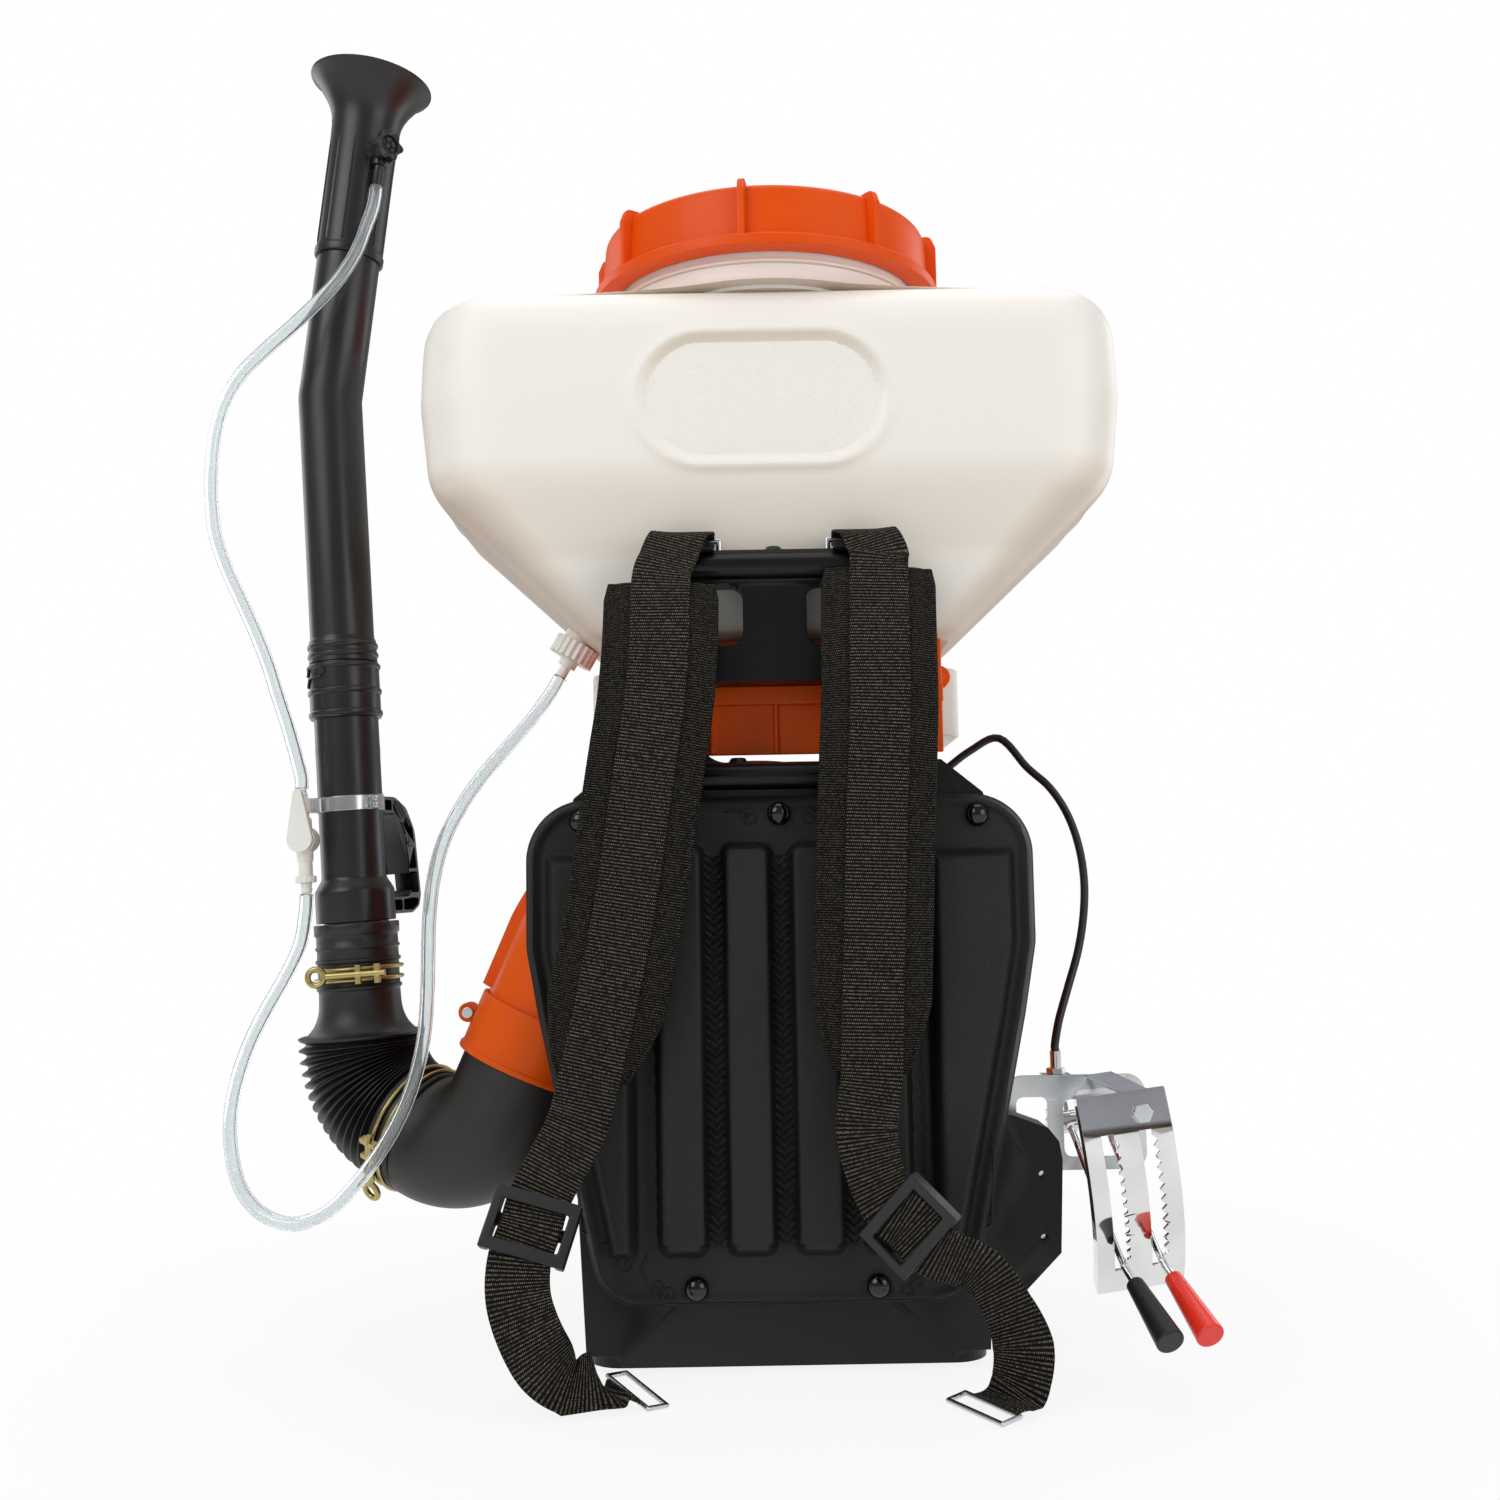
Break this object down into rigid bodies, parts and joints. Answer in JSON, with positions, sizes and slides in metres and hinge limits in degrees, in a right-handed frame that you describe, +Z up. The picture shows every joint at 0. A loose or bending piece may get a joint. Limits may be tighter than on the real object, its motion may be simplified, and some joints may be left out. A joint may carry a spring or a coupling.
{
  "type": "backpack sprayer",
  "caption": "Motorised knapsack mist blower: engine-driven fan on a padded back frame, tank with screw lid above, bellows hose and blowing wand, two shoulder straps, lever quadrant.",
  "frame": {"origin": "on the ground under the middle of the carrier frame's base", "axes": "+Z up, -Y toward the wearer's back, +X to the wearer's left, seen from the wearer's side to the right"},
  "size_m": [0.6838, 0.4153, 0.9742],
  "materials": {
    "frame_black": "smooth moulded",
    "pad_grey": "textured vinyl",
    "trim_black": "moulded",
    "rubber_black": "matt",
    "housing_orange": "smooth moulded",
    "lid_orange": "smooth moulded",
    "zinc": "zinc plated",
    "chrome_plate": "bright plated",
    "elbow_grey": "moulded",
    "impeller_plastic": "moulded",
    "steel": "turned",
    "cast_alloy": "cast",
    "plug_white": "glazed",
    "muffler_steel": "heat stained",
    "guard_black": "painted",
    "tank_white": "blow moulded",
    "fitting_white": "moulded",
    "fuel_white": "translucent",
    "pad_cloth": "woven",
    "webbing": "ribbed webbing",
    "grip_black": "matt",
    "grip_red": "smooth",
    "cable_black": "smooth sheath",
    "bellows_rubber": "semi gloss",
    "clamp_yellow": "yellow passivated",
    "wand_black": "smooth moulded",
    "hose_clear": "clear"
  },
  "bodies": {
    "pack": {"carrier_frame": "frame_black", "back_pad": "pad_grey", "pad_rivets": "trim_black", "frame_plugs": "trim_black", "vibration_mounts": "rubber_black", "fan_housing_front": "housing_orange", "fan_housing_rear": "housing_orange", "outlet_collar": "housing_orange", "housing_screws": "zinc", "outlet_elbow": "elbow_grey", "crankcase": "cast_alloy", "engine_cylinder": "cast_alloy", "spark_plug": "plug_white", "muffler": "muffler_steel", "muffler_guard": "guard_black", "carburettor": "cast_alloy", "air_filter_cover": "trim_black", "recoil_housing": "housing_orange", "tank_seat": "housing_orange", "chemical_tank": "tank_white", "outlet_nut": "fitting_white", "outlet_spigot": "fitting_white", "fuel_tank": "fuel_white", "strap_bows": "zinc", "shoulder_pad_left": "pad_cloth", "shoulder_pad_right": "pad_cloth", "webbing_left": "webbing", "webbing_right": "webbing", "strap_buckles": "trim_black", "strap_rings": "zinc", "lever_bracket": "zinc", "quadrant_plate": "chrome_plate", "quadrant_fasteners": "zinc", "throttle_cable": "cable_black", "cable_stop": "zinc", "bellows": "bellows_rubber", "bellows_clamp_lower": "clamp_yellow", "hose_lower": "hose_clear"},
    "rotor": {"impeller": "impeller_plastic", "crankshaft": "steel", "flywheel": "cast_alloy"},
    "choke": {"choke_lever": "trim_black"},
    "starter": {"starter_handle": "rubber_black"},
    "lid_seal": {"tank_gasket": "rubber_black"},
    "lid": {"tank_lid": "lid_orange"},
    "fuel_cap_body": {"fuel_cap": "trim_black"},
    "throttle": {"throttle_lever": "chrome_plate", "throttle_grip": "grip_black"},
    "shutter": {"shutter_lever": "chrome_plate", "shutter_grip": "grip_red"},
    "wand": {"handle_tube": "wand_black", "bellows_clamp_upper": "clamp_yellow", "wand_handle": "wand_black", "handle_band": "zinc", "tap_body": "fitting_white", "hose_upper": "hose_clear"},
    "tap": {"tap_lever": "fitting_white"},
    "wand_upper": {"wand_tube": "wand_black", "nozzle": "wand_black"},
    "dose": {"dosing_knob": "trim_black"}
  },
  "joints": [
    {"name": "fan_spin", "type": "hinge", "parent": "pack", "child": "rotor", "pos_m": [0, -0.068, 0.215], "axis": [0, 1, 0], "continuous": true},
    {"name": "choke_turn", "type": "hinge", "parent": "pack", "child": "choke", "pos_m": [-0.088, 0.012, 0.326], "axis": [0, 0, 1], "range_deg": [0, 75]},
    {"name": "starter_pull", "type": "slide", "parent": "pack", "child": "starter", "axis": [0, 1, 0], "range_m": [0, 0.6], "stiffness_N_per_m": 15},
    {"name": "lid_lift", "type": "slide", "parent": "pack", "child": "lid_seal", "axis": [0, 0, 1], "range_m": [0, 0.024]},
    {"name": "lid_turn", "type": "hinge", "parent": "lid_seal", "child": "lid", "pos_m": [0, 0, 0.8], "axis": [0, 0, 1], "range_deg": [0, 1080]},
    {"name": "fuel_cap_turn", "type": "hinge", "parent": "pack", "child": "fuel_cap_body", "pos_m": [0.092, 0.096, 0.49], "axis": [0, 0, 1], "range_deg": [0, 90]},
    {"name": "throttle_swing", "type": "hinge", "parent": "pack", "child": "throttle", "pos_m": [0.218, -0.072, 0.147], "axis": [-0.9914, 0, -0.1305], "range_deg": [0, 34]},
    {"name": "shutter_swing", "type": "hinge", "parent": "pack", "child": "shutter", "pos_m": [0.218, -0.072, 0.147], "axis": [-0.9914, 0, -0.1305], "range_deg": [0, 34]},
    {"name": "wand_swing", "type": "hinge", "parent": "pack", "child": "wand", "pos_m": [-0.30287, -0.02272, 0.17204], "axis": [1, 0, 0], "range_deg": [-10, 45], "deforming": ["bellows", "hose_lower"]},
    {"name": "tap_turn", "type": "hinge", "parent": "wand", "child": "tap", "pos_m": [-0.35262, -0.05134, 0.35744], "axis": [0, -1, 0], "range_deg": [0, 90]},
    {"name": "nozzle_turn", "type": "hinge", "parent": "wand", "child": "wand_upper", "pos_m": [-0.33045, -0.01781, 0.49689], "axis": [0.0558, 0, -0.9984], "range_deg": [0, 30], "deforming": ["hose_upper"]},
    {"name": "dose_turn", "type": "hinge", "parent": "wand_upper", "child": "dose", "pos_m": [-0.29457, -0.04441, 0.89328], "axis": [0.6643, -0.7431, -0.0804], "range_deg": [0, 270]}
  ],
  "couplings": [
    {"joint": "lid_lift", "follows": "lid_turn", "m_per_rad": 0.0012732}
  ]
}
